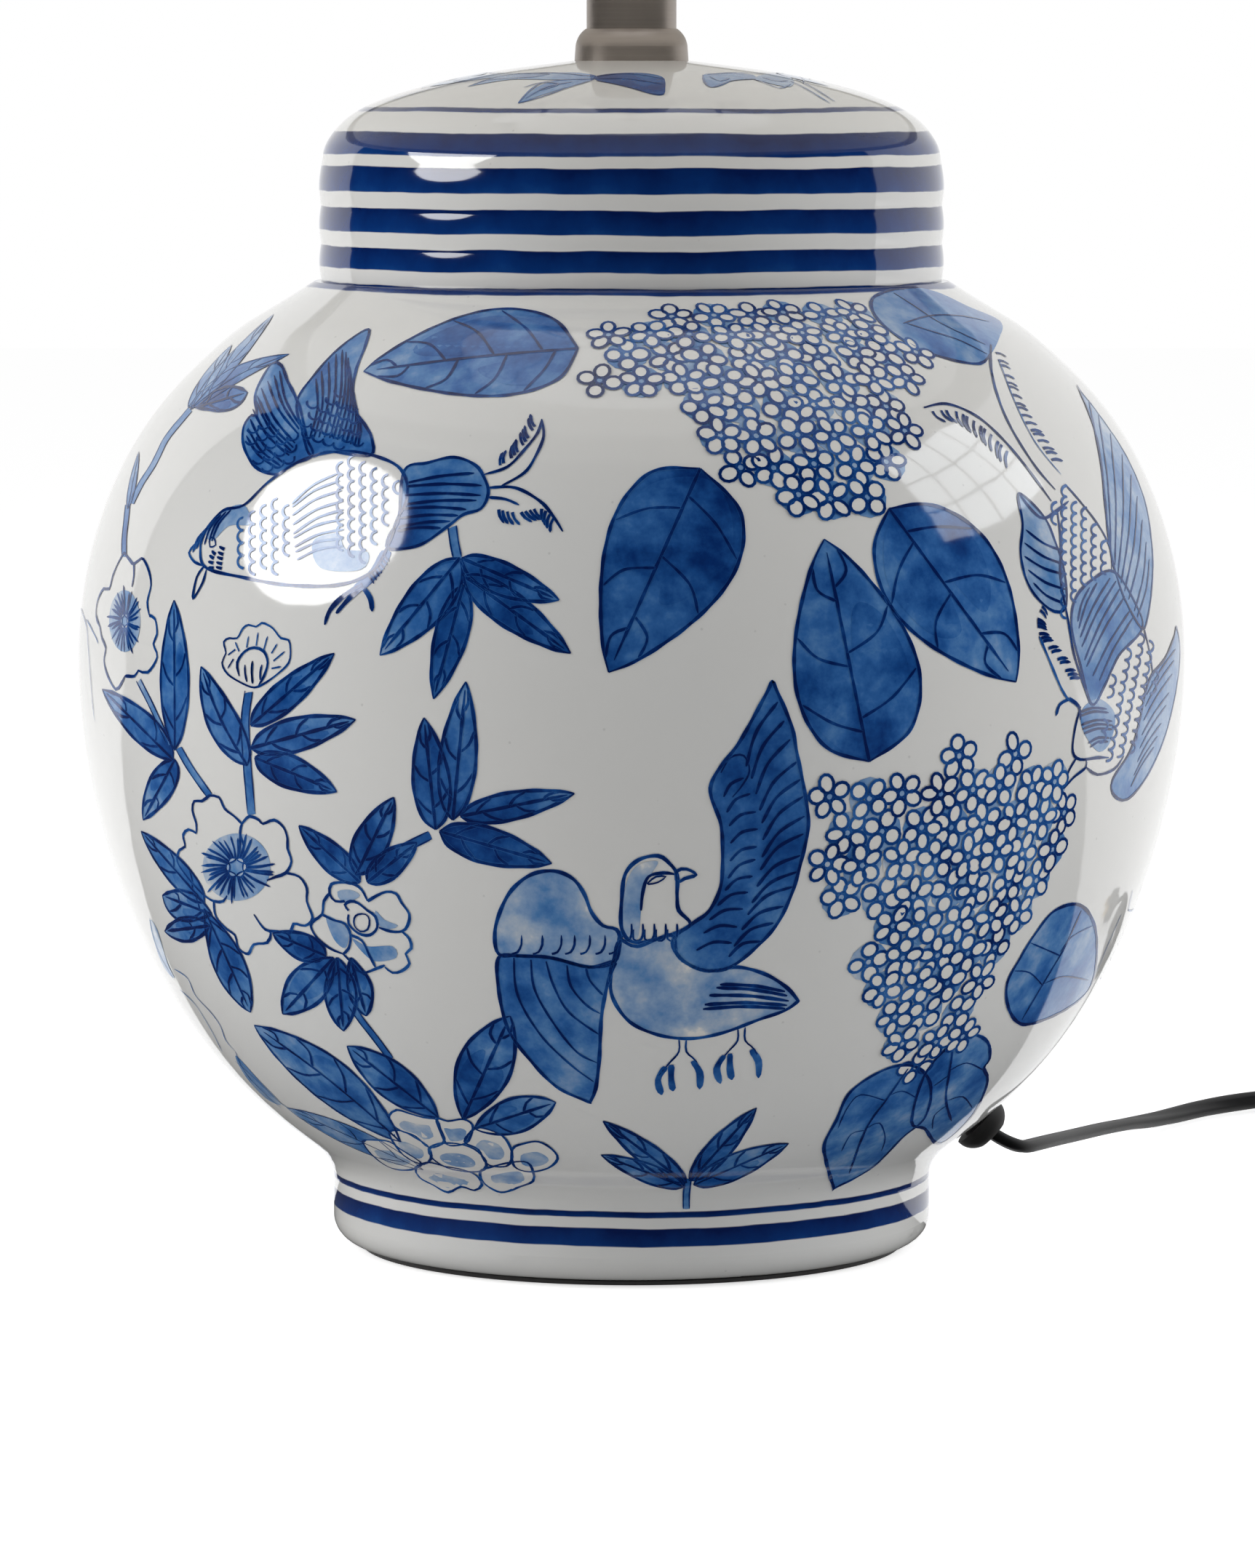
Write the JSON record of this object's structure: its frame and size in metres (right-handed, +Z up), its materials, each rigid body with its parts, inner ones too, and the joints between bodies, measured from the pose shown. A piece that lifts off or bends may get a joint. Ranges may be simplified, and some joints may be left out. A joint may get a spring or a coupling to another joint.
{
  "type": "ginger jar lamp",
  "caption": "Table lamp with a round lidded porcelain jar as its base, nickel neck, harp, cone shade and side cord.",
  "frame": {"origin": "on the table under the jar's axis", "axes": "+Z up along the jar's axis, -Y towards the viewer, +X towards the side where the cord leaves"},
  "size_m": [0.5018, 0.4804, 0.6075],
  "materials": {
    "jar_glaze": "glossy clear glaze over white porcelain with cobalt painting",
    "lid_glaze": "glossy clear glaze over white porcelain with cobalt bands",
    "black_rubber": "matt black rubber",
    "brushed_nickel": "brushed warm nickel plate",
    "plated_steel": "zinc plated steel",
    "black_phenolic": "moulded black phenolic",
    "brass": "bare brass",
    "liner_card": "grey fibre card",
    "cord_jacket": "black vinyl, satin",
    "wire_jacket": "pale vinyl insulation",
    "tie_strip": "black vinyl tie",
    "shade_linen": "off-white linen on a stiff backing",
    "shade_trim": "off-white linen tape",
    "fitter_paint": "white painted steel wire"
  },
  "bodies": {
    "lamp": {"jar_body": "jar_glaze", "jar_lid": "lid_glaze", "foot_pad": "black_rubber", "cord_grommet": "black_rubber", "neck_base": "brushed_nickel", "neck_tube": "brushed_nickel", "neck_check_ring": "brushed_nickel", "lamp_nipple": "plated_steel", "nipple_gasket": "black_rubber", "nipple_washer": "plated_steel", "nipple_nut": "plated_steel", "harp_saddle": "brushed_nickel", "harp_bow": "brushed_nickel", "harp_seat": "brushed_nickel", "socket_cap": "brushed_nickel", "cap_screw": "plated_steel", "socket_body": "black_phenolic", "terminal_screws": "plated_steel", "socket_shell": "brushed_nickel", "socket_liner": "liner_card", "screw_shell": "brass", "centre_contact": "brass", "socket_wires": "wire_jacket", "cord_inside": "cord_jacket", "cord_free": "cord_jacket", "cord_coil": "cord_jacket", "cord_tie": "tie_strip", "plug_body": "cord_jacket", "plug_blades": "brass"},
    "knob": {"switch_knob": "black_phenolic", "switch_spindle": "brass"},
    "sleeve_left": {"harp_sleeve_left": "brushed_nickel"},
    "sleeve_right": {"harp_sleeve_right": "brushed_nickel"},
    "shade": {"shade_cone": "shade_linen", "shade_top_trim": "shade_trim", "shade_bottom_trim": "shade_trim", "shade_bottom_ring": "fitter_paint", "shade_fitter": "fitter_paint"},
    "finial": {"finial": "brushed_nickel"}
  },
  "joints": [
    {"name": "knob_turn", "type": "hinge", "parent": "lamp", "child": "knob", "pos_m": [0, -0.0246, 0.3819], "axis": [0, -1, 0], "continuous": true},
    {"name": "sleeve_left_slide", "type": "slide", "parent": "lamp", "child": "sleeve_left", "axis": [0, 0, 1], "range_m": [0, 0.012]},
    {"name": "sleeve_right_slide", "type": "slide", "parent": "lamp", "child": "sleeve_right", "axis": [0, 0, 1], "range_m": [0, 0.012]},
    {"name": "shade_turn", "type": "hinge", "parent": "lamp", "child": "shade", "pos_m": [0, 0, 0.5808], "axis": [0, 0, 1], "continuous": true},
    {"name": "finial_turn", "type": "hinge", "parent": "lamp", "child": "finial", "pos_m": [0, 0, 0.59], "axis": [0, 0, 1], "continuous": true}
  ]
}
